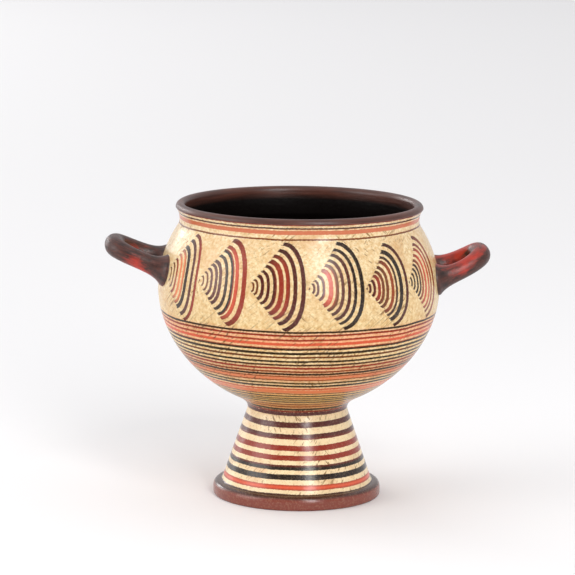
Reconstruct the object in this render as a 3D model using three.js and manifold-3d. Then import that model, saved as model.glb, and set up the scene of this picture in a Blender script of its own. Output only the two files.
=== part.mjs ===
import * as THREE from "three";
import { mergeVertices } from "three/addons/utils/BufferGeometryUtils.js";
import Module from "manifold-3d";

// A footed krater of fired clay: a round bowl on a hollow conical foot, with two horizontal loop handles.
// Millimetres, +Z up, the foot ring's underside on z = 0, the handles along X.

// Plinth under the foot
const PLINTH_RADIUS = 56.5;
const PLINTH_HEIGHT = 9.4;
const PLINTH_TOP_ROUND = 4.5;
const PLINTH_BOTTOM_ROUND = 1.6;

// Conical foot, from the plinth's top up to its waist below the bowl
const FOOT_BASE_RADIUS = 50.8;
const FOOT_TOP_RADIUS = 34;
const FOOT_TOP_HEIGHT = 58;
const FOOT_WALL = 7;
const HOLLOW_CEILING_RISE = 8;

// Curve that joins the foot to the bowl
const JOINT_HEIGHT = 11;
const JOINT_SPREAD = 9;

// Bowl: one quarter curve below the belly and one above it
const BELLY_RADIUS = 94.6;
const BOWL_DEPTH = 81.5;
const BOWL_DEPTH_POWER = 1.86;
const SHOULDER_RISE = 83.5;
const SHOULDER_POWER = 2;
const WALL = 5.5;
const FLOOR_THICKNESS = 13;

// Neck and lip
const NECK_RADIUS = 80.4;
const NECK_HEIGHT = 11;
const NECK_ROUND = 3;
const LIP_RADIUS = 83;
const LIP_THICKNESS = 6.4;
const LIP_ROUND = 3.2;

// Loop handles, each a round bar bent to a horseshoe and pressed onto the wall
const ARM_RADIUS = 5.3;
const BEND_RADIUS = 6.6;
const ROOT_FLARE = 5.4;
const ROOT_FLARE_LENGTH = 5.5;
const ROOT_HALF_SPREAD = 17.5;
const BEND_HALF_SPREAD = 19.8;
const BEND_ROUNDNESS = 0.62;
const ARM_ROUNDNESS = 1.14;
const HANDLE_TWIST = THREE.MathUtils.degToRad(2.9);
const LEFT_HANDLE_LENGTH = 36;
const LEFT_HANDLE_ABOVE_BELLY = 13.4;
const LEFT_ROOT_SLOPE = THREE.MathUtils.degToRad(18.9);
const LEFT_BEND_SLOPE = THREE.MathUtils.degToRad(24.5);
const RIGHT_HANDLE_LENGTH = 34.6;
const RIGHT_HANDLE_ABOVE_BELLY = 7.9;
const RIGHT_ROOT_SLOPE = THREE.MathUtils.degToRad(8.3);
const RIGHT_BEND_SLOPE = THREE.MathUtils.degToRad(32.8);

// Fineness of the faceted surfaces
const ROUND_SEGMENTS = 60;
const EDGE_STEPS = 3;
const JOINT_STEPS = 4;
const LOWER_BOWL_STEPS = 9;
const UPPER_BOWL_STEPS = 6;
const LIP_STEPS = 6;
const CEILING_STEPS = 4;
const BAR_SIDES = 14;
const BAR_STEPS = 26;
const TANGENT_SPAN = 0.002;

const wasm = await Module();
wasm.setup();

// Profile points are Vector2: x is the distance from the axis, y is the height.
const point = (radius, height) => new THREE.Vector2(radius, height);

// How far below (or above) the belly a quarter curve of this reach has narrowed to the given radius
function reachAt(radius, widest, reach, power) {
  return reach * Math.max(0, 1 - (radius / widest) ** 2) ** (1 / power);
}

// Points of a quarter curve between two radii, evenly spaced by angle so that the steep part is as smooth
function quarter(radiusFrom, radiusTo, widest, reach, power, centre, steps) {
  const from = Math.acos(radiusFrom / widest);
  const to = Math.acos(radiusTo / widest);
  const points = [];
  for (let i = 0; i <= steps; i += 1) {
    const radius = widest * Math.cos(THREE.MathUtils.lerp(from, to, i / steps));
    points.push(point(radius, centre + reachAt(radius, widest, reach, power)));
  }
  return points;
}

// Rounded corner between two straight or curved stretches, as a curve with its control at the corner
function corner(start, control, end, steps) {
  return new THREE.QuadraticBezierCurve(start, control, end).getPoints(steps);
}

// Where two lines meet, each given by a point and its run in radius for each millimetre of height
function meeting(pointA, slopeA, pointB, slopeB) {
  const rise = (pointB.x - pointA.x - slopeB * (pointB.y - pointA.y)) / (slopeA - slopeB);
  return point(pointA.x + slopeA * rise, pointA.y + rise);
}

// Change of radius with height at the given radius on a quarter curve, without its sign
function slopeAt(radius, widest, reach, power) {
  const height = reachAt(radius, widest, reach, power);
  return (widest ** 2 * power * (height / reach) ** (power - 1)) / (2 * radius * reach);
}

// Heights that follow from the sizes above, from the table upwards
const joinRadius = FOOT_TOP_RADIUS + JOINT_SPREAD;
const joinHeight = FOOT_TOP_HEIGHT + JOINT_HEIGHT;
const bellyHeight = joinHeight + reachAt(joinRadius, BELLY_RADIUS, BOWL_DEPTH, BOWL_DEPTH_POWER);
const shoulderTop = bellyHeight + reachAt(NECK_RADIUS, BELLY_RADIUS, SHOULDER_RISE, SHOULDER_POWER);
const lipHeight = shoulderTop + NECK_HEIGHT;
const footSlope = (FOOT_TOP_RADIUS - FOOT_BASE_RADIUS) / (FOOT_TOP_HEIGHT - PLINTH_HEIGHT);

// The handles' centre lines start inside the bowl, so that their ends can be trimmed.
const barStart = BELLY_RADIUS - 2 * WALL;

// Outer side, from the underside's outer edge up to the lip
function outerProfile() {
  const plinthTop = PLINTH_HEIGHT;
  const side = PLINTH_RADIUS;
  const footTop = point(FOOT_TOP_RADIUS, FOOT_TOP_HEIGHT);
  const join = point(joinRadius, joinHeight);
  const joinSlope = slopeAt(joinRadius, BELLY_RADIUS, BOWL_DEPTH, BOWL_DEPTH_POWER);
  const lowerBowl = quarter(
    BELLY_RADIUS, joinRadius, BELLY_RADIUS, -BOWL_DEPTH, BOWL_DEPTH_POWER, bellyHeight, LOWER_BOWL_STEPS,
  ).reverse();
  const neckBase = NECK_RADIUS + NECK_ROUND / 2;
  const upperBowl = quarter(
    BELLY_RADIUS, neckBase, BELLY_RADIUS, SHOULDER_RISE, SHOULDER_POWER, bellyHeight, UPPER_BOWL_STEPS,
  );
  const neck = point(NECK_RADIUS, shoulderTop + NECK_ROUND);
  return [
    ...corner(
      point(side - PLINTH_BOTTOM_ROUND, 0), point(side, 0), point(side, PLINTH_BOTTOM_ROUND), EDGE_STEPS,
    ),
    ...corner(
      point(side, plinthTop - PLINTH_TOP_ROUND), point(side, plinthTop),
      point(side - PLINTH_TOP_ROUND, plinthTop), EDGE_STEPS,
    ),
    point(FOOT_BASE_RADIUS, plinthTop),
    ...corner(footTop, meeting(footTop, footSlope, join, joinSlope), join, JOINT_STEPS),
    ...lowerBowl.slice(1),
    ...upperBowl.slice(1, -1),
    ...corner(upperBowl.at(-1), point(NECK_RADIUS, shoulderTop), neck, EDGE_STEPS),
    ...corner(
      neck, point(NECK_RADIUS, lipHeight - LIP_ROUND), point(LIP_RADIUS, lipHeight), EDGE_STEPS,
    ).slice(1),
  ];
}

// The lip's rounded top, from its outer edge over to its inner edge
function lipProfile() {
  const half = LIP_THICKNESS / 2;
  const points = [];
  for (let i = 1; i <= LIP_STEPS; i += 1) {
    const angle = (Math.PI * i) / LIP_STEPS;
    const height = lipHeight + LIP_ROUND * Math.sin(angle);
    points.push(point(LIP_RADIUS - half + half * Math.cos(angle), height));
  }
  return points;
}

// The bowl's curve set inwards by the given depth, from the neck down to the axis
function insetBowl(inset) {
  const widest = BELLY_RADIUS - inset;
  const neck = LIP_RADIUS - LIP_THICKNESS + WALL - inset;
  return [
    ...quarter(neck, widest, widest, SHOULDER_RISE - inset, SHOULDER_POWER, bellyHeight, UPPER_BOWL_STEPS),
    ...quarter(
      widest, 0, widest, inset - BOWL_DEPTH, BOWL_DEPTH_POWER, bellyHeight, LOWER_BOWL_STEPS,
    ).slice(1),
  ];
}

// The hollow under the foot, from its ceiling on the axis down to the ring's inner edge
function hollowProfile() {
  const ceiling = bellyHeight - BOWL_DEPTH + WALL - FLOOR_THICKNESS;
  const springing = ceiling - HOLLOW_CEILING_RISE;
  const radiusAt = (height) => FOOT_BASE_RADIUS - FOOT_WALL + footSlope * (height - PLINTH_HEIGHT);
  const points = [];
  for (let i = 0; i <= CEILING_STEPS; i += 1) {
    const angle = (Math.PI / 2) * (1 - i / CEILING_STEPS);
    const height = springing + HOLLOW_CEILING_RISE * Math.sin(angle);
    points.push(point(radiusAt(springing) * Math.cos(angle), height));
  }
  points[0].x = 0;
  points.push(point(radiusAt(PLINTH_BOTTOM_ROUND), PLINTH_BOTTOM_ROUND));
  points.push(point(radiusAt(0) + PLINTH_BOTTOM_ROUND, 0));
  return points;
}

// A profile turned about the Z axis
function turned(points) {
  const geometry = new THREE.LatheGeometry(points, ROUND_SEGMENTS);
  geometry.rotateX(Math.PI / 2);
  return geometry;
}

// A closed geometry as a solid that can be joined and cut
function solid(geometry) {
  geometry.deleteAttribute("normal");
  geometry.deleteAttribute("uv");
  const merged = mergeVertices(geometry);
  const mesh = new wasm.Mesh({
    numProp: 3,
    vertProperties: merged.attributes.position.array,
    triVerts: new Uint32Array(merged.index.array),
  });
  return new wasm.Manifold(mesh);
}

function vessel() {
  const inner = insetBowl(WALL);
  const rim = lipProfile();
  inner.at(-1).x = 0;
  return solid(turned([...hollowProfile(), ...outerProfile(), ...rim, ...inner]));
}

// A closed plug that ends half way into the wall, used to trim the bars' inner ends
function wallPlug() {
  const curve = insetBowl(WALL / 2);
  curve.at(-1).x = 0;
  curve.unshift(point(0, curve[0].y));
  return solid(turned(curve.reverse()));
}

// Centre line of a handle: progress runs from 0 at the front root to 1 at the back root
function barCentre(progress, form) {
  const angle = Math.PI * progress;
  const out = Math.sin(angle) ** ARM_ROUNDNESS;
  const halfSpread = THREE.MathUtils.lerp(ROOT_HALF_SPREAD, BEND_HALF_SPREAD, out);
  const across = -Math.sign(Math.cos(angle)) * Math.abs(Math.cos(angle)) ** BEND_ROUNDNESS * halfSpread;
  const length = form.reach - BEND_RADIUS - barStart;
  const run = out * length;
  const rise = Math.tan(form.rootSlope) * run;
  const curl = (Math.tan(form.bendSlope) - Math.tan(form.rootSlope)) * run ** 2 / (2 * length);
  const height = form.rootHeight + rise + curl + Math.tan(HANDLE_TWIST) * across;
  return new THREE.Vector3(form.side * (barStart + run), across, height);
}

// The bar is thinnest along its arms and thicker round the bend.
function barRadius(distance, form) {
  const out = (distance - barStart) / (form.reach - BEND_RADIUS - barStart);
  return THREE.MathUtils.lerp(ARM_RADIUS, BEND_RADIUS, out ** 2);
}

// The bowl's outer radius at a height
function bowlRadiusAt(height) {
  const below = height < bellyHeight;
  const share = Math.abs(height - bellyHeight) / (below ? BOWL_DEPTH : SHOULDER_RISE);
  return BELLY_RADIUS * Math.sqrt(Math.max(0, 1 - share ** (below ? BOWL_DEPTH_POWER : SHOULDER_POWER)));
}

// The clay was smeared out where the bar meets the wall: the nearer the wall, the more it widens.
function rootFlare(place) {
  const gap = Math.max(0, Math.hypot(place.x, place.y) - bowlRadiusAt(place.z));
  return ROOT_FLARE * Math.exp(-gap / ROOT_FLARE_LENGTH);
}

// A unit cylinder whose rings are laid along the handle's centre line
function handle(form) {
  const geometry = new THREE.CylinderGeometry(1, 1, 1, BAR_SIDES, BAR_STEPS);
  const position = geometry.attributes.position;
  const up = new THREE.Vector3(0, 0, 1);
  for (let i = 0; i < position.count; i += 1) {
    const progress = THREE.MathUtils.clamp(position.getY(i) + 0.5, 0, 1);
    const centre = barCentre(progress, form);
    const before = barCentre(Math.max(0, progress - TANGENT_SPAN), form);
    const after = barCentre(Math.min(1, progress + TANGENT_SPAN), form);
    const along = after.sub(before).normalize();
    const across = new THREE.Vector3().crossVectors(along, up).normalize();
    const over = new THREE.Vector3().crossVectors(across, along);
    const spoke = across.multiplyScalar(position.getX(i)).addScaledVector(over, position.getZ(i));
    const place = centre.clone().addScaledVector(spoke, barRadius(Math.abs(centre.x), form));
    place.addScaledVector(spoke, rootFlare(place));
    position.setXYZ(i, place.x, place.y, place.z);
  }
  return solid(geometry);
}

function krater() {
  const plug = wallPlug();
  const left = handle({
    side: -1,
    reach: BELLY_RADIUS + LEFT_HANDLE_LENGTH,
    rootHeight: bellyHeight + LEFT_HANDLE_ABOVE_BELLY,
    rootSlope: LEFT_ROOT_SLOPE,
    bendSlope: LEFT_BEND_SLOPE,
  });
  const right = handle({
    side: 1,
    reach: BELLY_RADIUS + RIGHT_HANDLE_LENGTH,
    rootHeight: bellyHeight + RIGHT_HANDLE_ABOVE_BELLY,
    rootSlope: RIGHT_ROOT_SLOPE,
    bendSlope: RIGHT_BEND_SLOPE,
  });
  const body = vessel().add(left.subtract(plug)).add(right.subtract(plug));
  const result = body.getMesh();
  const geometry = new THREE.BufferGeometry();
  geometry.setAttribute("position", new THREE.BufferAttribute(new Float32Array(result.vertProperties), 3));
  geometry.setIndex(new THREE.BufferAttribute(new Uint32Array(result.triVerts), 1));
  geometry.computeVertexNormals();
  const clay = new THREE.MeshStandardMaterial({ color: "#efd3a0", roughness: 0.45, metalness: 0 });
  const mesh = new THREE.Mesh(geometry, clay);
  mesh.name = "krater";
  return mesh;
}

const object = new THREE.Group();
object.add(krater());

export default object;
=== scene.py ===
import math

import bpy
import numpy as np
from mathutils import Matrix, Vector


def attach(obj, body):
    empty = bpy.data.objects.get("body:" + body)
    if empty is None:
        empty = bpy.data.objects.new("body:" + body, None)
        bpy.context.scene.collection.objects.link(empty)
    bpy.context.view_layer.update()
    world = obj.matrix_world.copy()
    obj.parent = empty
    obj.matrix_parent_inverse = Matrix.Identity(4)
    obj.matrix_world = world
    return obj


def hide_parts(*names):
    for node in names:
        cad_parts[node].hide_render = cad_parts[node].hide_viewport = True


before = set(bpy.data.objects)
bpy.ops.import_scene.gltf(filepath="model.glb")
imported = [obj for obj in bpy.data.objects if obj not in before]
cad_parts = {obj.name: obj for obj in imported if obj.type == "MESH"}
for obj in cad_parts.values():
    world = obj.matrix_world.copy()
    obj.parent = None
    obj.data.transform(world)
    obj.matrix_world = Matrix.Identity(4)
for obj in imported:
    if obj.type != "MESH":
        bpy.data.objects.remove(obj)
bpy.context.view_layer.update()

# The thrown vessel: bowl, neck, lip, waist and hollow conical foot are one wall of reddish clay. Foot and
# bowl were thrown on the wheel and joined wet at the waist. It is round all over, so one profile that
# goes round the axis makes it. Heights run up from the table, in millimetres.
MM = 0.001
PLINTH_RADIUS, PLINTH_HEIGHT, PLINTH_TOP_ROUND, PLINTH_BOTTOM_ROUND = 56.5, 9.4, 4.5, 1.6
FOOT_BASE_RADIUS, FOOT_TOP_RADIUS, FOOT_TOP_HEIGHT, FOOT_WALL = 50.8, 34.0, 58.0, 7.0
SEAT_REACH, SEAT_RISES, CONE_START = 0.8, (0.0, 0.15, 0.5), 1.0
JOIN_RADIUS, JOIN_HEIGHT = 43.0, 69.0
BELLY_RADIUS, BOWL_DEPTH, BOWL_POWER = 94.6, 81.5, 1.86
SHOULDER_RISE, SHOULDER_POWER = 83.5, 2.0
WALL, FLOOR_THICKNESS, CEILING_RISE = 5.5, 13.0, 8.0
NECK_RADIUS, NECK_HEIGHT, NECK_ROUND = 80.4, 11.0, 3.0
LIP_RADIUS, LIP_THICKNESS, LIP_ROUND = 83.0, 6.4, 3.2
TURNS = 320
SAME_POINT = 1e-4


def drop_at(radius, widest, reach, power):
    """Height between the belly and the place where the bowl has narrowed to radius:
    reach times (1 - (radius / widest) squared) to the power 1 / power."""
    return reach * np.maximum(0.0, 1.0 - (radius / widest) ** 2) ** (1.0 / power)


BELLY_HEIGHT = JOIN_HEIGHT + drop_at(JOIN_RADIUS, BELLY_RADIUS, BOWL_DEPTH, BOWL_POWER)
SHOULDER_TOP = BELLY_HEIGHT + drop_at(NECK_RADIUS, BELLY_RADIUS, SHOULDER_RISE, SHOULDER_POWER)
LIP_HEIGHT = SHOULDER_TOP + NECK_HEIGHT
FOOT_SLOPE = (FOOT_TOP_RADIUS - FOOT_BASE_RADIUS) / (FOOT_TOP_HEIGHT - PLINTH_HEIGHT)
FLOOR_HEIGHT = BELLY_HEIGHT - BOWL_DEPTH + WALL
LOWER_BOWL = (-1, BOWL_DEPTH, BOWL_POWER)
SHOULDER = (1, SHOULDER_RISE, SHOULDER_POWER)


def bowl_curve(part, start, end, inset, count):
    """Profile points of the lower bowl or the shoulder, set inwards by inset, from radius start to radius
    end: radius = widest times the cosine of an evenly stepped angle, and height = the belly's height plus
    or minus drop_at of that radius."""
    way, reach, power = part
    widest = BELLY_RADIUS - inset
    angle = np.linspace(math.acos(start / widest), math.acos(end / widest), count)
    radius = widest * np.cos(angle)
    return radius, BELLY_HEIGHT + way * drop_at(radius, widest, reach - inset, power)


def bent(start, control, end, count):
    """Profile points of a rounded corner: the quadratic Bezier curve of three points."""
    t = np.linspace(0.0, 1.0, count)[:, None]
    points = (1 - t) ** 2 * np.array(start) + 2 * t * (1 - t) * np.array(control) + t**2 * np.array(end)
    return points[:, 0], points[:, 1]


def joined(*curves):
    """The curves one after another as one profile, without the doubled points where they meet."""
    radius = np.concatenate([curve[0] for curve in curves])
    height = np.concatenate([curve[1] for curve in curves])
    keep = np.append(True, np.hypot(np.diff(radius), np.diff(height)) > SAME_POINT)
    return radius[keep], height[keep]


def inner_curve(inset):
    """Profile of the bowl's wall set inwards by inset, from the neck down to the axis: shoulder, then
    lower bowl."""
    belly = BELLY_RADIUS - inset
    radius, height = joined(
        bowl_curve(SHOULDER, LIP_RADIUS - LIP_THICKNESS, belly, inset, 20),
        bowl_curve(LOWER_BOWL, belly, 0.0, inset, 36),
    )
    radius[-1] = 0.0
    return radius, height


def ring_quads(rings, sides):
    """Faces between each ring of points and the next: a point, the next one round, and the same two one
    ring further on."""
    row = np.arange(rings - 1)[:, None] * sides
    here = np.arange(sides)
    there = (here + 1) % sides
    return np.stack([row + here, row + there, row + sides + there, row + sides + here], -1).reshape(-1, 4)


def turned_mesh(name, radius, height, turns):
    """Surface of revolution: each profile point goes round the axis in equal turns, as
    (radius sin a, -radius cos a, height). The first and last points lie on the axis and close the poles."""
    angle = np.linspace(0.0, 2 * math.pi, turns, endpoint=False)
    ring_radius = radius[1:-1, None]
    ring_count = len(radius) - 2
    ring_height = np.broadcast_to(height[1:-1, None], (ring_count, turns))
    rings = np.stack([ring_radius * np.sin(angle), -ring_radius * np.cos(angle), ring_height], axis=-1)
    poles = np.array([[0.0, 0.0, height[0]], [0.0, 0.0, height[-1]]])
    points = np.concatenate([rings.reshape(-1, 3), poles]) * MM
    first_pole, last_pole = len(points) - 2, len(points) - 1
    here = np.arange(turns)
    there = (here + 1) % turns
    top_row = (ring_count - 1) * turns
    start_fan = np.stack([np.full(turns, first_pole), there, here], axis=-1)
    end_fan = np.stack([np.full(turns, last_pole), top_row + here, top_row + there], axis=-1)
    faces = start_fan.tolist() + ring_quads(ring_count, turns).tolist() + end_fan.tolist()
    mesh = bpy.data.meshes.new(name)
    mesh.from_pydata(points.tolist(), [], faces)
    return mesh


# Profile of the outer side, from the underside's outer edge up to the lip. The last number of each curve
# is how many points it has. The waist's curve leaves the cone of the foot and ends in the bowl's slope.
bowl_slope = (
    BELLY_RADIUS**2 * BOWL_POWER
    * ((BELLY_HEIGHT - JOIN_HEIGHT) / BOWL_DEPTH) ** (BOWL_POWER - 1)
    / (2 * JOIN_RADIUS * BOWL_DEPTH)
)
meeting_rise = (
    JOIN_RADIUS - FOOT_TOP_RADIUS - bowl_slope * (JOIN_HEIGHT - FOOT_TOP_HEIGHT)
) / (FOOT_SLOPE - bowl_slope)
waist_corner = (FOOT_TOP_RADIUS + FOOT_SLOPE * meeting_rise, FOOT_TOP_HEIGHT + meeting_rise)
neck_base = NECK_RADIUS + NECK_ROUND / 2
neck_base_height = BELLY_HEIGHT + drop_at(neck_base, BELLY_RADIUS, SHOULDER_RISE, SHOULDER_POWER)
neck_low = (NECK_RADIUS, SHOULDER_TOP + NECK_ROUND)
neck_high = (NECK_RADIUS, LIP_HEIGHT - LIP_ROUND)
side, top = PLINTH_RADIUS, PLINTH_HEIGHT
outer_side = joined(
    bent((side - PLINTH_BOTTOM_ROUND, 0), (side, 0), (side, PLINTH_BOTTOM_ROUND), 5),
    bent((side, top - PLINTH_TOP_ROUND), (side, top), (side - PLINTH_TOP_ROUND, top), 9),
    (np.linspace(FOOT_BASE_RADIUS + SEAT_REACH, FOOT_BASE_RADIUS, 3), top + np.array(SEAT_RISES)),
    (
        np.linspace(FOOT_BASE_RADIUS + FOOT_SLOPE * CONE_START, FOOT_TOP_RADIUS, 16),
        np.linspace(top + CONE_START, FOOT_TOP_HEIGHT, 16),
    ),
    bent((FOOT_TOP_RADIUS, FOOT_TOP_HEIGHT), waist_corner, (JOIN_RADIUS, JOIN_HEIGHT), 13),
    bowl_curve(LOWER_BOWL, JOIN_RADIUS, BELLY_RADIUS, 0.0, 34),
    bowl_curve(SHOULDER, BELLY_RADIUS, neck_base, 0.0, 26),
    bent((neck_base, neck_base_height), (NECK_RADIUS, SHOULDER_TOP), neck_low, 7),
    bent(neck_low, neck_high, (LIP_RADIUS, LIP_HEIGHT), 9),
)
lip_turn = np.linspace(0.0, math.pi, 17)
lip = (
    LIP_RADIUS - LIP_THICKNESS / 2 * (1 - np.cos(lip_turn)),
    LIP_HEIGHT + LIP_ROUND * np.sin(lip_turn),
)


def hollow_radius(height):
    """Radius of the hollow under the foot: the cone of the foot's outer side, less its wall."""
    return FOOT_BASE_RADIUS - FOOT_WALL + FOOT_SLOPE * (height - PLINTH_HEIGHT)


# The hollow of the foot: half an ellipse as its ceiling, the cone, and a small round at the table
springing = FLOOR_HEIGHT - FLOOR_THICKNESS - CEILING_RISE
ceiling_turn = np.linspace(math.pi / 2, 0.0, 13)
hollow_heights = np.linspace(springing, PLINTH_BOTTOM_ROUND, 14)
edge_radius, mouth_radius = hollow_radius(PLINTH_BOTTOM_ROUND), hollow_radius(0.0)
table_radius = mouth_radius + PLINTH_BOTTOM_ROUND
hollow = joined(
    (hollow_radius(springing) * np.cos(ceiling_turn), springing + CEILING_RISE * np.sin(ceiling_turn)),
    (hollow_radius(hollow_heights), hollow_heights),
    bent((edge_radius, PLINTH_BOTTOM_ROUND), (mouth_radius, 0.0), (table_radius, 0.0), 5),
)
hollow[0][0] = 0.0
profile = joined(hollow, outer_side, lip, inner_curve(WALL))
vessel_mesh = turned_mesh("krater_vessel", *profile, TURNS)

# The painted side: cream slip brushed over the clay while the vessel turned, with rings and fans in
# iron-black, brown, brick and orange slips laid on with a loaded brush, then fired once and waxed, so
# lines wave a little, thin out where the brush ran dry and have a soft satin sheen.
SLIP_IOR = 1.5
PAINTS = {
    "black": "#20120a",
    "iron": "#2a160b",
    "maroon": "#4c150e",
    "plum": "#5a2a24",
    "brown": "#6a3515",
    "olive": "#3e2a08",
    "rust": "#8a3812",
    "brick": "#8e2c1a",
    "madder": "#7f3e31",
    "umber": "#43241c",
    "chocolate": "#54201a",
    "red": "#c2482c",
    "orange": "#e25c3c",
    "ember": "#d0583a",
    "salmon": "#db7a4c",
    "terracotta": "#c46a44",
    "soot": "#2c1c0a",
}


def srgb(code):
    """The linear colour of an sRGB hex code such as "#efd3a0"."""
    part = np.array([int(code[i : i + 2], 16) for i in (1, 3, 5)]) / 255
    linear = np.where(part <= 0.04045, part / 12.92, ((part + 0.055) / 1.055) ** 2.4)
    return (*linear.tolist(), 1.0)


def add_node(tree, kind, inputs=None, **settings):
    """Adds one node of this kind: settings are its own properties, and inputs gives each socket, by name
    or number, a value, another node's output socket, or a node whose first output it takes."""
    node = tree.nodes.new(kind)
    for name, value in settings.items():
        setattr(node, name, value)
    for socket, value in (inputs or {}).items():
        if isinstance(value, bpy.types.Node):
            value = value.outputs[0]
        if isinstance(value, bpy.types.NodeSocket):
            tree.links.new(value, node.inputs[socket])
        else:
            node.inputs[socket].default_value = value
    return node


def start_finish(name):
    """A new material, its empty node tree, and the place on the object in millimetres."""
    material = bpy.data.materials.new(name)
    material.use_nodes = True
    tree = material.node_tree
    tree.nodes.clear()
    place = add_node(tree, "ShaderNodeTexCoord").outputs["Object"]
    place_mm = add_node(tree, "ShaderNodeVectorMath", {0: place, "Scale": 1 / MM}, operation="SCALE")
    return material, tree, place_mm


def end_finish(tree, colour, roughness, relief, strength, relief_mm, shine=0.5):
    """The fired surface that ends a material. Relief from 0 to 1 stands for relief_mm of height, and
    shine is the share of the mirror light, 0.5 for what the IOR gives by itself."""
    bump = add_node(
        tree, "ShaderNodeBump", {"Height": relief, "Strength": strength, "Distance": relief_mm * MM}
    )
    shader = add_node(
        tree, "ShaderNodeBsdfPrincipled",
        {
            "Base Color": colour, "Roughness": roughness, "Normal": bump,
            "IOR": SLIP_IOR, "Specular IOR Level": shine,
        },
    )
    add_node(tree, "ShaderNodeOutputMaterial", {"Surface": shader})


# A ramp's alpha holds depths from -SPAN / 2 to SPAN / 2 millimetres
SPAN = 4.0


def brushed_strokes(tree, distance, strokes):
    """Parallel strokes laid across a distance in millimetres. Each is (middle, width, paint). Their signed
    depth is half the width less the way from the middle, so it is above 0 inside a stroke. One colour
    ramp holds each stroke's paint, and in its alpha 0.5 + depth / SPAN, with a stop in the middle of each
    stroke and one or two between neighbours. Returns the paint and depth sockets."""
    low = strokes[0][0] - strokes[0][1] / 2 - SPAN / 2
    high = strokes[-1][0] + strokes[-1][1] / 2 + SPAN / 2
    stops = [(low, 0.0, strokes[0][2])]
    for one, (middle, width, paint) in enumerate(strokes):
        stops.append((middle, min(1.0, 0.5 + width / 2 / SPAN), paint))
        if one + 1 == len(strokes):
            continue
        next_middle, next_width, next_paint = strokes[one + 1]
        gap = next_middle - middle - (width + next_width) / 2
        between = middle + width / 2 + gap / 2
        if gap < SPAN:
            stops.append((between, 0.5 - gap / 2 / SPAN, paint if width > next_width else next_paint))
        else:
            stops.append((between - gap / 2 + SPAN / 2, 0.0, paint))
            stops.append((between + gap / 2 - SPAN / 2, 0.0, next_paint))
    stops.append((high, 0.0, strokes[-1][2]))
    place = add_node(tree, "ShaderNodeMapRange", {"Value": distance, "From Min": low, "From Max": high})
    ramp = add_node(tree, "ShaderNodeValToRGB", {"Fac": place})
    elements = ramp.color_ramp.elements
    while len(elements) < len(stops):
        elements.new(1.0)
    for element, (position, alpha, paint) in zip(elements, stops):
        element.position = (position - low) / (high - low)
        element.color = (*srgb(PAINTS[paint])[:3], alpha)
    depth = add_node(
        tree, "ShaderNodeMapRange",
        {"Value": ramp.outputs["Alpha"], "To Min": -SPAN / 2, "To Max": SPAN / 2},
    )
    return ramp.outputs["Color"], depth.outputs[0]


def laid_over(tree, under, over):
    """Two sets of strokes as one: the deeper stroke at a place gives the depth and the paint there."""
    on_top = add_node(tree, "ShaderNodeMath", {0: over[1], 1: under[1]}, operation="GREATER_THAN")
    paint = add_node(tree, "ShaderNodeMix", {0: on_top, 6: under[0], 7: over[0]}, data_type="RGBA")
    depth = add_node(tree, "ShaderNodeMath", {0: over[1], 1: under[1]}, operation="MAXIMUM")
    return paint.outputs[2], depth.outputs[0]


painted, tree, place_mm = start_finish("cream_slip_painted_earthenware")
axes = add_node(tree, "ShaderNodeSeparateXYZ", {0: place_mm})
front = add_node(tree, "ShaderNodeMath", {0: axes.outputs["Y"], 1: -1.0}, operation="MULTIPLY")
azimuth = add_node(tree, "ShaderNodeMath", {0: axes.outputs["X"], 1: front}, operation="ARCTAN2")

# The hand's slow wander along a ring, 0.28 mm up and down. Each noise's scale is its grains in a
# millimetre, so this one's 0.035 is a wave about 29 mm long.
WANDER = 0.28
wander = add_node(tree, "ShaderNodeTexNoise", {"Vector": place_mm, "Scale": 0.035, "Detail": 1.0})
wave = add_node(
    tree, "ShaderNodeMapRange",
    {"Value": wander, "From Min": 0.25, "From Max": 0.75, "To Min": -WANDER, "To Max": WANDER},
)
ring_height = add_node(tree, "ShaderNodeMath", {0: axes.outputs["Z"], 1: wave}, operation="ADD").outputs[0]

# Each ring: its height, width and paint, in as many sets as the ramps need
FOOT_RINGS = (
    (3.0, 9.0, "madder"), (8.3, 3.6, "umber"), (14.2, 3.4, "orange"), (20.7, 3.5, "black"),
    (26.8, 3.3, "black"), (32.9, 3.3, "brick"), (39.1, 3.5, "brick"), (46.4, 3.4, "chocolate"),
    (54.0, 3.6, "chocolate"),
)
WAIST_RINGS = (
    (61.1, 2.4, "maroon"), (63.0, 1.4, "brick"), (64.8, 1.7, "black"), (67.3, 1.0, "rust"),
    (69.8, 1.1, "rust"), (72.4, 1.2, "olive"), (74.5, 1.0, "olive"), (76.1, 0.9, "olive"),
    (78.2, 1.1, "olive"), (80.4, 0.8, "olive"), (82.3, 2.6, "salmon"), (84.6, 1.2, "red"),
)
LOW_RINGS = (
    (87.1, 1.5, "soot"), (89.5, 1.3, "olive"), (92.2, 1.0, "rust"), (93.5, 1.1, "salmon"),
    (94.8, 1.0, "rust"), (96.8, 1.5, "soot"), (98.8, 1.2, "rust"), (101.4, 1.5, "brick"),
    (103.8, 1.4, "soot"), (106.5, 1.5, "soot"), (109.6, 1.4, "brown"),
)
HIGH_RINGS = (
    (112.4, 1.8, "soot"), (115.6, 1.9, "soot"), (118.9, 2.0, "ember"), (121.8, 1.4, "brick"),
    (124.9, 1.4, "brick"), (127.2, 1.4, "soot"),
)
NECK_RINGS = (
    (185.8, 1.1, "brown"), (190.4, 2.8, "terracotta"), (193.1, 1.2, "iron"), (195.5, 0.8, "brick"),
    (198.2, 5.2, "maroon"),
)
strokes = brushed_strokes(tree, ring_height, FOOT_RINGS)
for rings in (WAIST_RINGS, LOW_RINGS, HIGH_RINGS, NECK_RINGS):
    strokes = laid_over(tree, strokes, brushed_strokes(tree, ring_height, rings))

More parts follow.
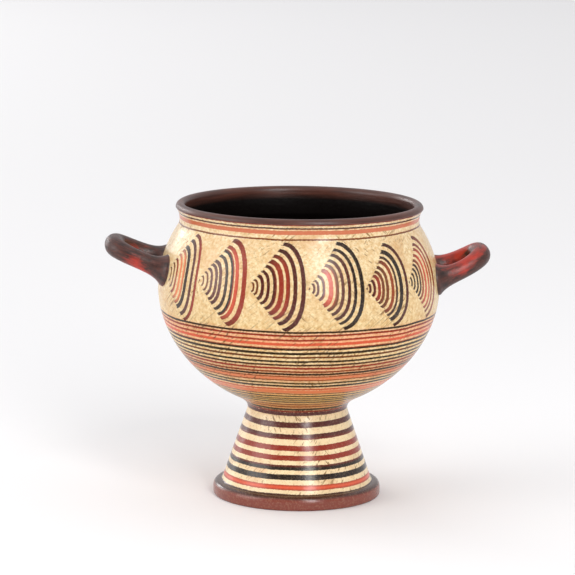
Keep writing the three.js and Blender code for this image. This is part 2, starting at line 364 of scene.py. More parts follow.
# Fans of curved strokes round the shoulder. Seen along the wall, x runs round it and y up it from the
# fan's point, at the polar angle a = atan2(y, x). A stroke at distance d is the curve
# hypot(x, y) = d (1 + 0.25 t - 0.3 t^2) with t = (a / FAN_END)^2: flatter than a circle in the middle,
# with ends that curl back in. The strokes run out to points at both ends.
WALL_ROUND = 93.0
FAN_END = math.radians(52)
BULGE, CURL, LEAST_SHAPE = 0.25, -0.3, 0.3
UPPER_END, LOWER_END = math.radians(52), math.radians(49)
UPPER_TAPER, LOWER_TAPER = 0.28, 0.4
POOL_START, POOL_SHARE = 0.35, 0.7


def fan_strokes(tree, turn, height, arcs):
    """One fan: turn is the way round from its point in radians and height the way up from it in
    millimetres. Each stroke's depth is cut by the distance inside the two lines at the fan's end angles,
    times a taper, and its paint goes to iron where it pooled at the ends."""
    x = add_node(tree, "ShaderNodeMath", {0: turn, 1: WALL_ROUND}, operation="MULTIPLY")
    run = add_node(tree, "ShaderNodeCombineXYZ", {"X": x, "Y": height})
    reach = add_node(tree, "ShaderNodeVectorMath", {0: run}, operation="LENGTH").outputs["Value"]
    polar = add_node(tree, "ShaderNodeMath", {0: height, 1: x}, operation="ARCTAN2")
    share = add_node(tree, "ShaderNodeMath", {0: polar, 1: FAN_END}, operation="DIVIDE")
    squared = add_node(tree, "ShaderNodeMath", {0: share, 1: share}, operation="MULTIPLY")
    curl = add_node(tree, "ShaderNodeMath", {0: squared, 1: CURL, 2: BULGE}, operation="MULTIPLY_ADD")
    shape = add_node(tree, "ShaderNodeMath", {0: curl, 1: squared, 2: 1.0}, operation="MULTIPLY_ADD")
    held = add_node(tree, "ShaderNodeMath", {0: shape, 1: LEAST_SHAPE}, operation="MAXIMUM")
    distance = add_node(tree, "ShaderNodeMath", {0: reach, 1: held}, operation="DIVIDE")
    paint, depth = brushed_strokes(tree, distance, arcs)
    pooled = add_node(
        tree, "ShaderNodeMapRange",
        {"Value": squared, "From Min": POOL_START, "From Max": 1.0, "To Max": POOL_SHARE},
    )
    paint = add_node(
        tree, "ShaderNodeMix", {0: pooled, 6: paint, 7: srgb(PAINTS["iron"])}, data_type="RGBA"
    ).outputs[2]
    for way, end, taper in ((1, LOWER_END, LOWER_TAPER), (-1, UPPER_END, UPPER_TAPER)):
        side_run = add_node(tree, "ShaderNodeMath", {0: x, 1: math.sin(end)}, operation="MULTIPLY")
        inside_line = add_node(
            tree, "ShaderNodeMath", {0: height, 1: way * math.cos(end), 2: side_run}, operation="MULTIPLY_ADD"
        )
        cut = add_node(tree, "ShaderNodeMath", {0: inside_line, 1: taper}, operation="MULTIPLY")
        depth = add_node(tree, "ShaderNodeMath", {0: depth, 1: cut}, operation="MINIMUM").outputs[0]
    return paint, depth


# Each fan: its point's place in degrees round the wall and in millimetres up it, and its strokes'
# distance, width and paint
FANS = (
    (-73.2, 155.5, (
        (1.0, 1.2, "brown"), (6.0, 1.4, "brown"), (10.2, 1.6, "brown"), (14.3, 2.0, "brick"),
        (18.7, 2.2, "salmon"), (22.7, 2.2, "salmon"), (26.3, 3.0, "iron"), (32.0, 2.5, "plum"),
        (36.7, 2.3, "brick"),
    )),
    (-48.8, 156.5, (
        (0.6, 1.2, "brown"), (4.1, 1.3, "brown"), (7.6, 1.5, "brown"), (11.0, 1.9, "plum"),
        (14.8, 2.2, "plum"), (18.0, 2.4, "plum"), (22.7, 2.2, "iron"), (27.1, 2.4, "black"),
        (30.4, 2.6, "red"), (35.7, 3.2, "brick"),
    )),
    (-24.9, 156.0, (
        (0.3, 1.0, "brown"), (3.7, 1.3, "brown"), (6.2, 1.5, "brown"), (9.7, 2.2, "maroon"),
        (13.6, 2.0, "maroon"), (17.9, 2.4, "maroon"), (22.1, 3.2, "brick"), (26.5, 2.7, "brick"),
        (31.2, 2.7, "maroon"), (36.5, 2.8, "maroon"),
    )),
    (-0.6, 156.2, (
        (0.6, 1.3, "plum"), (3.9, 1.5, "plum"), (6.5, 1.5, "plum"), (10.2, 1.9, "plum"),
        (14.9, 2.9, "red"), (19.0, 2.4, "brown"), (22.9, 2.2, "plum"), (27.3, 2.3, "maroon"),
        (31.5, 2.2, "black"), (36.4, 2.8, "black"),
    )),
    (23.3, 154.7, (
        (0.6, 1.8, "maroon"), (3.4, 1.8, "maroon"), (6.7, 2.0, "maroon"), (10.4, 2.4, "brick"),
        (13.5, 2.2, "brown"), (17.0, 2.3, "brown"), (21.4, 2.5, "rust"), (24.8, 1.9, "iron"),
        (29.1, 3.2, "black"), (34.7, 2.6, "maroon"),
    )),
    (46.0, 155.3, (
        (0.5, 1.2, "iron"), (3.6, 1.5, "iron"), (6.7, 1.7, "iron"), (10.2, 1.9, "iron"),
        (13.6, 2.0, "iron"), (16.9, 2.2, "rust"), (20.9, 2.4, "red"), (25.6, 2.3, "red"),
        (29.5, 2.3, "brick"), (34.9, 3.0, "rust"),
    )),
)
for degrees_round, point_height, arcs in FANS:
    turned_to = math.radians(degrees_round)
    turn = add_node(tree, "ShaderNodeMath", {0: azimuth, 1: turned_to}, operation="SUBTRACT")
    height = add_node(tree, "ShaderNodeMath", {0: ring_height, 1: point_height}, operation="SUBTRACT")
    strokes = laid_over(tree, strokes, fan_strokes(tree, turn, height, arcs))

# The back's row is plainer: six fans of one brown-black slip at an even pitch, each of ten strokes that
# are 3.9 mm apart and widen outwards
BACK_PITCH = math.radians(24.0)
BACK_HALF_ROW = 3 * BACK_PITCH
BACK_POINT_HEIGHT = 156.0
BACK_ARCS = tuple((0.6 + 3.9 * count, 1.2 + 0.16 * count, "iron") for count in range(10))
behind = add_node(tree, "ShaderNodeMath", {0: axes.outputs["X"], 1: -1.0}, operation="MULTIPLY")
back_azimuth = add_node(tree, "ShaderNodeMath", {0: behind, 1: axes.outputs["Y"]}, operation="ARCTAN2")
in_row = add_node(tree, "ShaderNodeMath", {0: back_azimuth, 1: BACK_HALF_ROW}, operation="ADD")
in_cell = add_node(tree, "ShaderNodeMath", {0: in_row, 1: BACK_PITCH}, operation="MODULO")
back_height = add_node(tree, "ShaderNodeMath", {0: ring_height, 1: BACK_POINT_HEIGHT}, operation="SUBTRACT")
back_paint, back_depth = fan_strokes(tree, in_cell.outputs[0], back_height, BACK_ARCS)
off_row = add_node(tree, "ShaderNodeMath", {0: back_azimuth}, operation="ABSOLUTE")
beyond = add_node(tree, "ShaderNodeMath", {0: BACK_HALF_ROW, 1: off_row}, operation="SUBTRACT")
row_end = add_node(tree, "ShaderNodeMath", {0: beyond, 1: WALL_ROUND}, operation="MULTIPLY")
back_cut = add_node(tree, "ShaderNodeMath", {0: back_depth, 1: row_end}, operation="MINIMUM")
strokes = laid_over(tree, strokes, (back_paint, back_cut.outputs[0]))

# Ground: cream slip whose wash changes from band to band as the layers of it overlap, each stop a height
# and a colour. It is mottled in grains of about 2.4 mm, less so on the foot.
GROUND_WASH = (
    (58.0, "#f6e2bc"), (66.0, "#dc9e66"), (74.0, "#d6b674"), (79.0, "#e8c284"), (81.5, "#e8b084"),
    (86.0, "#f6d2a8"), (89.0, "#eed8aa"), (93.5, "#e2a278"), (99.0, "#e2b48a"), (105.0, "#f4dcae"),
    (113.0, "#f8e4b6"), (117.0, "#f6cca2"), (121.0, "#f6ba94"), (127.0, "#f4caa6"), (129.5, "#ecd6a8"),
    (190.0, "#f2e0bc"),
)
LIGHT_GRAIN, DARK_GRAIN = "#fffdf6", "#dab888"
FOOT_GRAIN, FOOT_GRAIN_HEIGHT, BOWL_GRAIN_HEIGHT = 0.35, 60.0, 75.0
wash_low, wash_high = GROUND_WASH[0][0], GROUND_WASH[-1][0]
wash_place = add_node(
    tree, "ShaderNodeMapRange", {"Value": ring_height, "From Min": wash_low, "From Max": wash_high}
)
wash = add_node(tree, "ShaderNodeValToRGB", {"Fac": wash_place})
while len(wash.color_ramp.elements) < len(GROUND_WASH):
    wash.color_ramp.elements.new(1.0)
for element, (height, code) in zip(wash.color_ramp.elements, GROUND_WASH):
    element.position = (height - wash_low) / (wash_high - wash_low)
    element.color = srgb(code)
light_ground, dark_ground = (
    add_node(
        tree, "ShaderNodeMix", {0: 1.0, 6: wash.outputs["Color"], 7: srgb(grain)},
        data_type="RGBA", blend_type="MULTIPLY",
    ).outputs[2]
    for grain in (LIGHT_GRAIN, DARK_GRAIN)
)
mottle = add_node(
    tree, "ShaderNodeTexNoise", {"Vector": place_mm, "Scale": 0.42, "Detail": 4.0, "Roughness": 0.75}
)
grained = add_node(
    tree, "ShaderNodeMapRange", {"Value": mottle, "From Min": 0.36, "From Max": 0.64, "To Max": 0.8}
)
on_bowl = add_node(
    tree, "ShaderNodeMapRange",
    {
        "Value": ring_height, "From Min": FOOT_GRAIN_HEIGHT, "From Max": BOWL_GRAIN_HEIGHT,
        "To Min": FOOT_GRAIN,
    },
)
grained = add_node(tree, "ShaderNodeMath", {0: grained, 1: on_bowl}, operation="MULTIPLY")
ground = add_node(
    tree, "ShaderNodeMix", {0: grained, 6: light_ground, 7: dark_ground}, data_type="RGBA"
).outputs[2]


def brush_marks(tree, place_mm, height, twist):
    """Dry brush marks as thin lines that climb round the wall: the place is turned about the axis by
    twist radians a millimetre of height and squeezed in height, so the noise stretches along a screw
    line, about 2 mm wide and 12 mm long."""
    turned_by = add_node(tree, "ShaderNodeMath", {0: height, 1: twist}, operation="MULTIPLY")
    screwed = add_node(
        tree, "ShaderNodeVectorRotate", {"Vector": place_mm, "Angle": turned_by}, rotation_type="Z_AXIS"
    )
    squeezed = add_node(tree, "ShaderNodeVectorMath", {0: screwed, 1: (1.0, 1.0, 0.14)}, operation="MULTIPLY")
    lines = add_node(tree, "ShaderNodeTexNoise", {"Vector": squeezed, "Scale": 0.6, "Detail": 2.0})
    return add_node(
        tree, "ShaderNodeMapRange", {"Value": lines, "From Min": 0.56, "From Max": 0.7},
        interpolation_type="SMOOTHSTEP",
    ).outputs[0]


# On the ground lie brown stains about 22 mm wide, dark specks of about 1.3 mm and dry diagonal brush
# marks, which lean one way or the other and are dense only in some places
STAIN, SPECK, DRY_MARK = "#c8935a", "#9a6a3c", "#8a6436"
stain = add_node(
    tree, "ShaderNodeTexNoise", {"Vector": place_mm, "Scale": 0.045, "Detail": 3.0, "Roughness": 0.6}
)
stained = add_node(
    tree, "ShaderNodeMapRange", {"Value": stain, "From Min": 0.5, "From Max": 0.75, "To Max": 0.5},
    interpolation_type="SMOOTHSTEP",
)
speck = add_node(
    tree, "ShaderNodeTexNoise", {"Vector": place_mm, "Scale": 0.8, "Detail": 3.0, "Roughness": 0.65}
)
specks = add_node(
    tree, "ShaderNodeMapRange", {"Value": speck, "From Min": 0.58, "From Max": 0.7, "To Max": 0.55}
)
dry_one_way = brush_marks(tree, place_mm, axes.outputs["Z"], 0.012)
dry_other_way = brush_marks(tree, place_mm, axes.outputs["Z"], -0.014)
which_way = add_node(
    tree, "ShaderNodeMapRange", {"Value": stain, "From Min": 0.44, "From Max": 0.5},
    interpolation_type="SMOOTHSTEP",
)
dry = add_node(
    tree, "ShaderNodeMix", {0: which_way, 2: dry_one_way, 3: dry_other_way}, data_type="FLOAT"
).outputs[0]
dry_share = add_node(tree, "ShaderNodeMapRange", {"Value": wander, "From Min": 0.42, "From Max": 0.6})
dry = add_node(tree, "ShaderNodeMath", {0: dry, 1: dry_share}, operation="MULTIPLY")
for share, code in ((stained, STAIN), (specks, SPECK), (dry, DRY_MARK)):
    ground = add_node(
        tree, "ShaderNodeMix", {0: share, 6: ground, 7: srgb(code)}, data_type="RGBA"
    ).outputs[2]

# Where the strokes are, with the bristles' rough edge in bites of about 1 mm, and a little of the ground
# where the paint wore
EDGE_BITE = 0.16
edge = add_node(tree, "ShaderNodeTexNoise", {"Vector": place_mm, "Scale": 0.9, "Detail": 2.0})
bite = add_node(
    tree, "ShaderNodeMapRange",
    {"Value": edge, "From Min": 0.3, "From Max": 0.7, "To Min": -EDGE_BITE, "To Max": EDGE_BITE},
)
edged = add_node(tree, "ShaderNodeMath", {0: strokes[1], 1: bite}, operation="ADD")
covered = add_node(
    tree, "ShaderNodeMapRange", {"Value": edged, "From Min": -0.1, "From Max": 0.12},
    interpolation_type="SMOOTHSTEP",
)
worn = add_node(
    tree, "ShaderNodeMapRange",
    {"Value": speck, "From Min": 0.5, "From Max": 0.7, "To Min": 1.0, "To Max": 0.88},
)
cover = add_node(tree, "ShaderNodeMath", {0: covered, 1: worn}, operation="MULTIPLY")
colour = add_node(
    tree, "ShaderNodeMix", {0: cover, 6: ground, 7: strokes[0]}, data_type="RGBA"
).outputs[2]

# Dark dry scratches over paint and ground, in a few patches about 36 mm wide on the lower bowl
SCRATCH = "#4e3218"
SCRATCH_LOW, SCRATCH_LOW_FULL, SCRATCH_HIGH_FULL, SCRATCH_HIGH = 80.0, 90.0, 128.0, 136.0
patch = add_node(tree, "ShaderNodeTexNoise", {"Vector": place_mm, "Scale": 0.028, "Detail": 1.0})
scratched = add_node(
    tree, "ShaderNodeMapRange", {"Value": patch, "From Min": 0.45, "From Max": 0.57, "To Max": 0.85},
    interpolation_type="SMOOTHSTEP",
)
below_fans = add_node(
    tree, "ShaderNodeMapRange",
    {"Value": ring_height, "From Min": SCRATCH_HIGH, "From Max": SCRATCH_HIGH_FULL},
)
above_waist = add_node(
    tree, "ShaderNodeMapRange",
    {"Value": ring_height, "From Min": SCRATCH_LOW, "From Max": SCRATCH_LOW_FULL},
)
on_lower_bowl = add_node(tree, "ShaderNodeMath", {0: below_fans, 1: above_waist}, operation="MULTIPLY")
scratched = add_node(tree, "ShaderNodeMath", {0: scratched, 1: on_lower_bowl}, operation="MULTIPLY")
scratch_marks = brush_marks(tree, place_mm, axes.outputs["Z"], -0.013)
scratches = add_node(tree, "ShaderNodeMath", {0: scratch_marks, 1: scratched}, operation="MULTIPLY")
colour = add_node(
    tree, "ShaderNodeMix", {0: scratches, 6: colour, 7: srgb(SCRATCH)}, data_type="RGBA"
).outputs[2]

# Satin sheen of wax, thinner on the lower bowl, over the relief of specks, throwing rings about 1.4 mm
# high and the paint's edges
sheen = add_node(
    tree, "ShaderNodeMapRange",
    {"Value": mottle, "From Min": 0.3, "From Max": 0.7, "To Min": 0.18, "To Max": 0.28},
)
flattened = add_node(tree, "ShaderNodeVectorMath", {0: place_mm, 1: (0.04, 0.04, 0.7)}, operation="MULTIPLY")
throwing = add_node(tree, "ShaderNodeTexNoise", {"Vector": flattened, "Scale": 1.0, "Detail": 3.0})
relief = add_node(tree, "ShaderNodeMath", {0: speck, 1: 0.5, 2: throwing}, operation="MULTIPLY_ADD")
relief = add_node(tree, "ShaderNodeMath", {0: cover, 1: 0.25, 2: relief}, operation="MULTIPLY_ADD")
wax = add_node(tree, "ShaderNodeMath", {0: on_lower_bowl, 1: -0.35, 2: 0.5}, operation="MULTIPLY_ADD")
end_finish(tree, colour, sheen, relief, strength=0.5, relief_mm=0.25, shine=wax)

# Lip and inside: dark iron slip, poured in and wiped over the lip. It fired to a satin black that shows the
# rings of the wiping hand, about 2 mm high. It is red-brown on the lip, where it was wiped thin, and that
# red-brown fades down the top of the inside wall from 194.5 to 190.5 mm as painted light, where light from
# above falls in.
LIP_SLIP_LOW, LIP_SLIP_HIGH = 190.5, 194.5
dark_slip, tree, place_mm = start_finish("iron_slip_satin_brown_black")
axes = add_node(tree, "ShaderNodeSeparateXYZ", {0: place_mm})
flattened = add_node(tree, "ShaderNodeVectorMath", {0: place_mm, 1: (0.05, 0.05, 0.5)}, operation="MULTIPLY")
wipe = add_node(tree, "ShaderNodeTexNoise", {"Vector": flattened, "Scale": 1.0, "Detail": 4.0})
grain = add_node(tree, "ShaderNodeTexNoise", {"Vector": place_mm, "Scale": 0.9, "Detail": 3.0})
# Red-brown from the lip down to 190.5 mm: the thin slip's own colour on the lip, painted light on the inside
# wall below it
lip_brown_and_painted_light = add_node(
    tree, "ShaderNodeMapRange",
    {"Value": axes.outputs["Z"], "From Min": LIP_SLIP_LOW, "From Max": LIP_SLIP_HIGH},
)
streaked = add_node(tree, "ShaderNodeMath", {0: lip_brown_and_painted_light, 1: wipe}, operation="MULTIPLY")
body = add_node(
    tree, "ShaderNodeMix", {0: streaked, 6: srgb("#0c0605"), 7: srgb("#6e3e30")}, data_type="RGBA"
).outputs[2]
gloss = add_node(
    tree, "ShaderNodeMapRange",
    {"Value": grain, "From Min": 0.3, "From Max": 0.7, "To Min": 0.3, "To Max": 0.44},
)
hills = add_node(tree, "ShaderNodeMath", {0: grain, 1: 0.4, 2: wipe}, operation="MULTIPLY_ADD")
end_finish(tree, body, gloss, hills, strength=0.5, relief_mm=0.3)

# Underside: the hollow of the foot and the ring that it stands on are bare fired clay, matt, clouded in
# patches of about 12 mm and gritty to the touch
bare_clay, tree, place_mm = start_finish("bare_fired_clay")
cloud = add_node(tree, "ShaderNodeTexNoise", {"Vector": place_mm, "Scale": 0.08, "Detail": 5.0})
grit = add_node(tree, "ShaderNodeTexNoise", {"Vector": place_mm, "Scale": 1.4, "Detail": 3.0})
body = add_node(
    tree, "ShaderNodeMix", {0: cloud, 6: srgb("#9c5a3c"), 7: srgb("#b9795a")}, data_type="RGBA"
).outputs[2]
matt = add_node(tree, "ShaderNodeMapRange", {"Value": grit, "To Min": 0.75, "To Max": 0.9})
end_finish(tree, body, matt, grit, strength=0.6, relief_mm=0.4)

# Handles: each a rolled bar bent to a horseshoe, pressed and smeared onto the wall at both ends, and
# dipped in the black slip. Handling has worn the slip to orange-red streaks along the arms, while roots
# and bend kept most of it. The wear is a sum of shares, and the red clay shows where it passes a limit.
ROOT_KEPT, ROOT_KEPT_END = 96.0, 108.0
BEND_KEPT_START, BEND_KEPT = 110.0, 124.0
handle_slip, tree, place_mm = start_finish("worn_black_slip_on_red_clay")
bar_map = add_node(tree, "ShaderNodeUVMap", uv_map="along_bar").outputs[0]
stretched = add_node(tree, "ShaderNodeVectorMath", {0: bar_map, 1: (5.0, 2.2, 0.0)}, operation="MULTIPLY")
patches = add_node(
    tree, "ShaderNodeTexNoise", {"Vector": stretched, "Scale": 1.0, "Detail": 3.0, "Roughness": 0.6}
)
grain = add_node(tree, "ShaderNodeTexNoise", {"Vector": place_mm, "Scale": 0.8, "Detail": 3.0})
axes = add_node(tree, "ShaderNodeSeparateXYZ", {0: place_mm})
off_axis = add_node(tree, "ShaderNodeMath", {0: axes.outputs["X"]}, operation="ABSOLUTE")
at_root = add_node(
    tree, "ShaderNodeMapRange",
    {"Value": off_axis, "From Min": ROOT_KEPT, "From Max": ROOT_KEPT_END, "To Min": -0.25, "To Max": 0.0},
)
right_more = add_node(
    tree, "ShaderNodeMapRange",
    {"Value": axes.outputs["X"], "From Min": -90.0, "From Max": 90.0, "To Min": 0.05, "To Max": 0.08},
)
worn_here = add_node(tree, "ShaderNodeMath", {0: at_root, 1: right_more}, operation="ADD")
worn_here = add_node(tree, "ShaderNodeMath", {0: worn_here, 1: patches}, operation="ADD")

# Fingers wore the top of the right handle and the under side of the left one, in fine streaks along the
# bar, and where slip is left it is dusty brown in places
facing = add_node(tree, "ShaderNodeTexCoord").outputs["Normal"]
up = add_node(tree, "ShaderNodeSeparateXYZ", {0: facing}).outputs["Z"]
which_side = add_node(tree, "ShaderNodeMath", {0: axes.outputs["X"], 1: 0.0022}, operation="MULTIPLY")
worn_here = add_node(tree, "ShaderNodeMath", {0: up, 1: which_side, 2: worn_here}, operation="MULTIPLY_ADD")
at_bend = add_node(
    tree, "ShaderNodeMapRange",
    {"Value": off_axis, "From Min": BEND_KEPT_START, "From Max": BEND_KEPT, "To Max": -0.4},
)
worn_here = add_node(tree, "ShaderNodeMath", {0: worn_here, 1: at_bend}, operation="ADD")
fine = add_node(tree, "ShaderNodeVectorMath", {0: bar_map, 1: (14.0, 9.0, 0.0)}, operation="MULTIPLY")
streaks = add_node(
    tree, "ShaderNodeTexNoise", {"Vector": fine, "Scale": 1.0, "Detail": 4.0, "Roughness": 0.7}
)
worn_here = add_node(tree, "ShaderNodeMath", {0: streaks, 1: 0.4, 2: worn_here}, operation="MULTIPLY_ADD")
wear = add_node(tree, "ShaderNodeMapRange", {"Value": worn_here, "From Min": 0.62, "From Max": 0.9})
dusty = add_node(tree, "ShaderNodeMapRange", {"Value": streaks, "From Min": 0.35, "From Max": 0.7})
black_slip = add_node(
    tree, "ShaderNodeMix", {0: dusty, 6: srgb("#24120e"), 7: srgb("#5c3026")}, data_type="RGBA"
).outputs[2]
body = add_node(
    tree, "ShaderNodeMix", {0: wear, 6: black_slip, 7: srgb("#b02e1c")}, data_type="RGBA"
).outputs[2]
gloss = add_node(
    tree, "ShaderNodeMapRange",
    {"Value": grain, "From Min": 0.3, "From Max": 0.7, "To Min": 0.32, "To Max": 0.46},
)
end_finish(tree, body, gloss, grain, strength=0.5, relief_mm=0.3)

# The handles' form. They differ in length, height above the belly and slope, as hand-bent bars do. Their
# wall ends start well inside the wall, and ROOT_FLARE is how far the smeared clay stands out there.
ARM_RADIUS, BEND_RADIUS, ROOT_FLARE, ROOT_FLARE_LENGTH = 5.3, 6.6, 5.4, 5.5
ROOT_HALF_SPREAD, BEND_HALF_SPREAD, BEND_ROUNDNESS, ARM_ROUNDNESS = 17.5, 19.8, 0.62, 1.14
HANDLE_TWIST = math.radians(2.9)
BAR_START = BELLY_RADIUS - 2 * WALL
BAR_SIDES, BAR_RINGS = 48, 160
UV_LENGTH = 100.0
HANDLES = {
    "left": {
        "side": -1,
        "length": 35.8,
        "above_belly": 13.4,
        "root_slope": math.radians(18.9),
        "bend_slope": math.radians(24.5),
    },
    "right": {
        "side": 1,
        "length": 34.4,
        "above_belly": 7.9,
        "root_slope": math.radians(8.3),
        "bend_slope": math.radians(32.8),
    },
}


def bar_centre(progress, form):
    """Centre line of a handle. It goes out as sin(pi p) and across as -cos(pi p), each to a power that
    squares the horseshoe, and climbs with a slope that grows evenly from the root to the bend."""
    angle = math.pi * progress
    out = np.maximum(np.sin(angle), 0.0) ** ARM_ROUNDNESS
    spread = ROOT_HALF_SPREAD + (BEND_HALF_SPREAD - ROOT_HALF_SPREAD) * out
    across = -np.sign(np.cos(angle)) * np.abs(np.cos(angle)) ** BEND_ROUNDNESS * spread
    length = BELLY_RADIUS + form["length"] - BEND_RADIUS - BAR_START
    run = out * length
    curl = (math.tan(form["bend_slope"]) - math.tan(form["root_slope"])) * run**2 / (2 * length)
    height = BELLY_HEIGHT + form["above_belly"] + math.tan(form["root_slope"]) * run + curl
    height = height + math.tan(HANDLE_TWIST) * across
    return np.stack([form["side"] * (BAR_START + run), across, height], axis=-1), out


def bowl_radius(height):
    """Outer radius of the bowl at a height: widest times the square root of
    1 - (way from the belly / reach) to the power, with the reach and power of that side of the belly."""
    below = height < BELLY_HEIGHT
    share = np.abs(height - BELLY_HEIGHT) / np.where(below, BOWL_DEPTH, SHOULDER_RISE)
    power = np.where(below, BOWL_POWER, SHOULDER_POWER)
    return BELLY_RADIUS * np.sqrt(np.maximum(0.0, 1.0 - share**power))


def bar_mesh(name, form):
    """Round bar carried along the centre line. Its radius grows with the square of the way out, and each
    point moves out by a flare that fades as exp(-distance from the wall / ROOT_FLARE_LENGTH). Its UV map
    is the way along the bar in UV_LENGTHs, and the way round it, from 1 down to 0 and back."""
    progress = np.linspace(0.0, 1.0, BAR_RINGS)
    centre, out = bar_centre(progress, form)
    along = np.gradient(centre, axis=0)
    along /= np.linalg.norm(along, axis=1, keepdims=True)
    across = np.cross(along, [0.0, 0.0, 1.0])
    across /= np.linalg.norm(across, axis=1, keepdims=True)
    over = np.cross(across, along)
    turn = np.linspace(0.0, 2 * math.pi, BAR_SIDES, endpoint=False)
    spoke = across[:, None] * np.cos(turn)[:, None] + over[:, None] * np.sin(turn)[:, None]
    radius = ARM_RADIUS + (BEND_RADIUS - ARM_RADIUS) * out**2
    bar = centre[:, None] + spoke * radius[:, None, None]
    gap = np.maximum(0.0, np.hypot(bar[..., 0], bar[..., 1]) - bowl_radius(bar[..., 2]))
    flare = ROOT_FLARE * np.exp(-gap / ROOT_FLARE_LENGTH)
    points = (bar + spoke * flare[..., None]).reshape(-1, 3) * MM
    cap = np.arange(BAR_SIDES)
    caps = [cap[::-1].tolist(), (cap + (BAR_RINGS - 1) * BAR_SIDES).tolist()]
    mesh = bpy.data.meshes.new(name)
    mesh.from_pydata(points.tolist(), [], ring_quads(BAR_RINGS, BAR_SIDES).tolist() + caps)
    steps = np.linalg.norm(np.diff(centre, axis=0), axis=1)
    walked = np.concatenate([[0.0], np.cumsum(steps)]) / UV_LENGTH
    corner_vertex = np.zeros(len(mesh.loops), dtype=np.int64)
    mesh.loops.foreach_get("vertex_index", corner_vertex)
    ring, spoke_number = corner_vertex // BAR_SIDES, corner_vertex % BAR_SIDES
    way_round = np.abs(spoke_number / BAR_SIDES * 2 - 1)
    along_bar = mesh.uv_layers.new(name="along_bar")
    along_bar.data.foreach_set("uv", np.stack([walked[ring], way_round], axis=-1).astype(np.float32).ravel())
    return mesh


# All four finishes are slots of each mesh, so that they stay in order when the meshes become one
FINISHES = (painted, dark_slip, bare_clay, handle_slip)


def new_piece(name, mesh, finish):
    """An object for the mesh, with the four finishes as its slots and every face in one of them."""
    for material in FINISHES:
        mesh.materials.append(material)
    mesh.polygons.foreach_set("material_index", np.full(len(mesh.polygons), FINISHES.index(finish)))
    mesh.polygons.foreach_set("use_smooth", np.ones(len(mesh.polygons), dtype=bool))
    piece = bpy.data.objects.new(name, mesh)
    bpy.context.scene.collection.objects.link(piece)
    return piece


# Which finish each face of the vessel has, from its row along the profile: bare clay up to the outer
# edge of the foot, paint up to the lip, and dark slip from there on
krater = new_piece("krater_vessel", vessel_mesh, painted)
clay_end, paint_end = np.cumsum([len(hollow[0]), len(outer_side[0])])
last_row = len(profile[0])
face_rows = np.concatenate([[0] * TURNS, np.repeat(np.arange(1, last_row - 2), TURNS), [last_row] * TURNS])
finish_index = np.full(len(face_rows), FINISHES.index(painted), dtype=np.int32)
finish_index[face_rows < clay_end] = FINISHES.index(bare_clay)
finish_index[face_rows >= paint_end - 1] = FINISHES.index(dark_slip)
vessel_mesh.polygons.foreach_set("material_index", finish_index)

# The bars are cut off half way into the wall and become one with it
SHARP_EDGE = math.radians(50)
plug_radius, plug_height = inner_curve(WALL / 2)
plug_profile = (np.append(0.0, plug_radius)[::-1], np.append(plug_height[0], plug_height)[::-1])
plug = new_piece("wall_plug", turned_mesh("wall_plug", *plug_profile, TURNS), dark_slip)
helpers = [plug]
for side_name, form in HANDLES.items():
    bar = new_piece(f"handle_{side_name}", bar_mesh(f"handle_{side_name}", form), handle_slip)
    trim = bar.modifiers.new("trimmed_at_wall", "BOOLEAN")
    trim.operation, trim.solver, trim.object = "DIFFERENCE", "EXACT", plug
    press = krater.modifiers.new(f"pressed_on_{side_name}", "BOOLEAN")
    press.operation, press.solver, press.object = "UNION", "EXACT", bar
    helpers.append(bar)
bpy.context.view_layer.update()
whole = bpy.data.meshes.new_from_object(krater.evaluated_get(bpy.context.evaluated_depsgraph_get()))
krater.modifiers.clear()
krater.data = whole
for helper in helpers:
    bpy.data.objects.remove(helper)
whole.set_sharp_from_angle(angle=SHARP_EDGE)
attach(krater, "root")
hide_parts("krater")

# Floor: a plain table top under matt white paper, in one sheet that reaches far past the picture's
# edges, so that no edge or corner of it shows. Half its width is in metres.
FLOOR_HALF = 12.0
floor_corners = [(x * FLOOR_HALF, y * FLOOR_HALF, 0.0) for x, y in ((-1, -1), (1, -1), (1, 1), (-1, 1))]
floor_mesh = bpy.data.meshes.new("studio_floor")
floor_mesh.from_pydata(floor_corners, [], [(0, 1, 2, 3)])
floor = bpy.data.objects.new("studio_floor", floor_mesh)
bpy.context.scene.collection.objects.link(floor)
paper = bpy.data.materials.new("matt_white_paper")
paper.use_nodes = True
paper_shader = paper.node_tree.nodes["Principled BSDF"]
paper_shader.inputs["Base Color"].default_value = srgb("#f1f0f0")
paper_shader.inputs["Roughness"].default_value = 0.9
floor_mesh.materials.append(paper)

# Light: a white room, darker behind the camera and brighter at the left and overhead, a tall window-like
# softbox that draws the upright sheen on the bowl, broad soft lights at the left and right, and two more
# at the left behind the vessel that light its far side and the floor
world = bpy.data.worlds.new("white_room")
bpy.context.scene.world = world
world.use_nodes = True
tree = world.node_tree
sky = tree.nodes["Background"]
looking = add_node(tree, "ShaderNodeTexCoord").outputs["Generated"]
direction = add_node(tree, "ShaderNodeSeparateXYZ", {0: looking})
walls = add_node(
    tree, "ShaderNodeMapRange",
    {"Value": direction.outputs["Y"], "From Min": -0.8, "From Max": 0.2, "To Min": 0.3, "To Max": 0.86},
    interpolation_type="SMOOTHSTEP",
)
ceiling = add_node(
    tree, "ShaderNodeMapRange",
    {"Value": direction.outputs["Z"], "From Min": 0.3, "From Max": 0.9, "To Max": 0.25},
    interpolation_type="SMOOTHSTEP",
)
left_more = add_node(
    tree, "ShaderNodeMapRange",
    {"Value": direction.outputs["X"], "From Min": -1.0, "From Max": 1.0, "To Min": 1.12, "To Max": 0.74},
)
room = add_node(tree, "ShaderNodeMath", {0: walls, 1: ceiling}, operation="ADD")
room = add_node(tree, "ShaderNodeMath", {0: room, 1: left_more}, operation="MULTIPLY")
tree.links.new(room.outputs[0], sky.inputs["Strength"])
sky.inputs["Color"].default_value = srgb("#fdfdff")


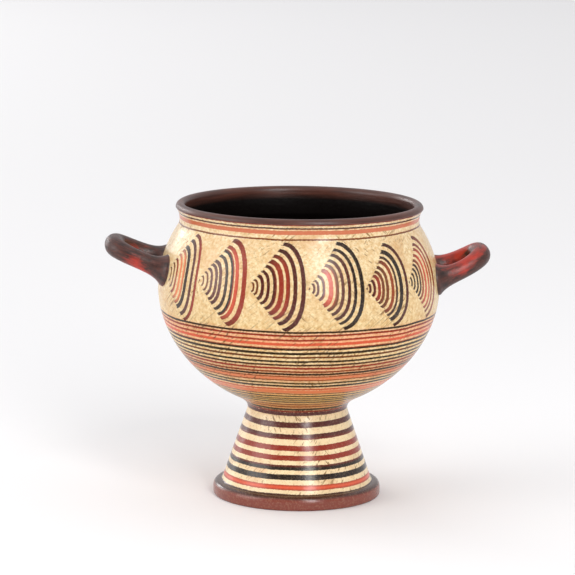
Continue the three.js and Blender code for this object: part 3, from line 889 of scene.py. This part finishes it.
def softbox(name, place_at, aim, width, height, watts):
    """A rectangular area light at place_at that faces aim, with all its lengths in metres."""
    data = bpy.data.lights.new(name, "AREA")
    data.shape, data.size, data.size_y, data.energy = "RECTANGLE", width, height, watts
    light = bpy.data.objects.new(name, data)
    bpy.context.scene.collection.objects.link(light)
    light.location = place_at
    way = Vector([end - start for start, end in zip(place_at, aim)])
    light.rotation_euler = way.to_track_quat("-Z", "Y").to_euler()


softbox("window_box", (0.68, -2.1, 1.35), (0.0, 0.0, 0.12), 0.5, 2.3, 38.0)
softbox("left_soft_light", (-2.6, -0.7, 1.1), (0.0, 0.0, 0.1), 1.8, 1.8, 25.0)
softbox("right_soft_light", (2.6, -0.9, 1.0), (0.0, 0.0, 0.1), 1.2, 1.2, 2.0)
softbox("back_left_light", (-2.2, 2.4, 0.9), (0.0, 0.0, 0.12), 1.4, 1.4, 14.0)
softbox("far_left_light", (-2.2, 4.0, 1.5), (-0.4, 4.0, 0.0), 1.0, 1.0, 26.0)

# Camera: a long lens two metres in front of the vessel and a little above it. Its place, in millimetres,
# and its aim are given as seen straight from the front, and TURN carries both round the vessel's axis.
TURN = math.radians(-4.2)
PITCH, ROLL = math.radians(9.69), math.radians(0.6)
LENS, SENSOR = 193.2, 36.0
CLIP_NEAR, CLIP_FAR = 0.1, 60.0
CAMERA_PLACE = np.array([-7.54, -2047.17, 490.51]) * MM
to_object = np.array(
    [[math.cos(TURN), -math.sin(TURN), 0.0], [math.sin(TURN), math.cos(TURN), 0.0], [0.0, 0.0, 1.0]]
)
level_right = np.array([1.0, 0.0, 0.0])
level_up = np.array([0.0, math.sin(PITCH), math.cos(PITCH)])
back_way = np.array([0.0, -math.cos(PITCH), math.sin(PITCH)])
right_way = level_right * math.cos(ROLL) + level_up * math.sin(ROLL)
up_way = level_up * math.cos(ROLL) - level_right * math.sin(ROLL)
camera_data = bpy.data.cameras.new("camera")
camera_data.lens, camera_data.sensor_width, camera_data.sensor_fit = LENS, SENSOR, "HORIZONTAL"
camera_data.clip_start, camera_data.clip_end = CLIP_NEAR, CLIP_FAR
camera = bpy.data.objects.new("camera", camera_data)
bpy.context.scene.collection.objects.link(camera)
stand = np.eye(4)
stand[:3, :3] = to_object @ np.stack([right_way, up_way, back_way], axis=1)
stand[:3, 3] = to_object @ CAMERA_PLACE
camera.matrix_world = Matrix(stand.tolist())
bpy.context.scene.camera = camera
bpy.context.scene.view_settings.view_transform = "Standard"
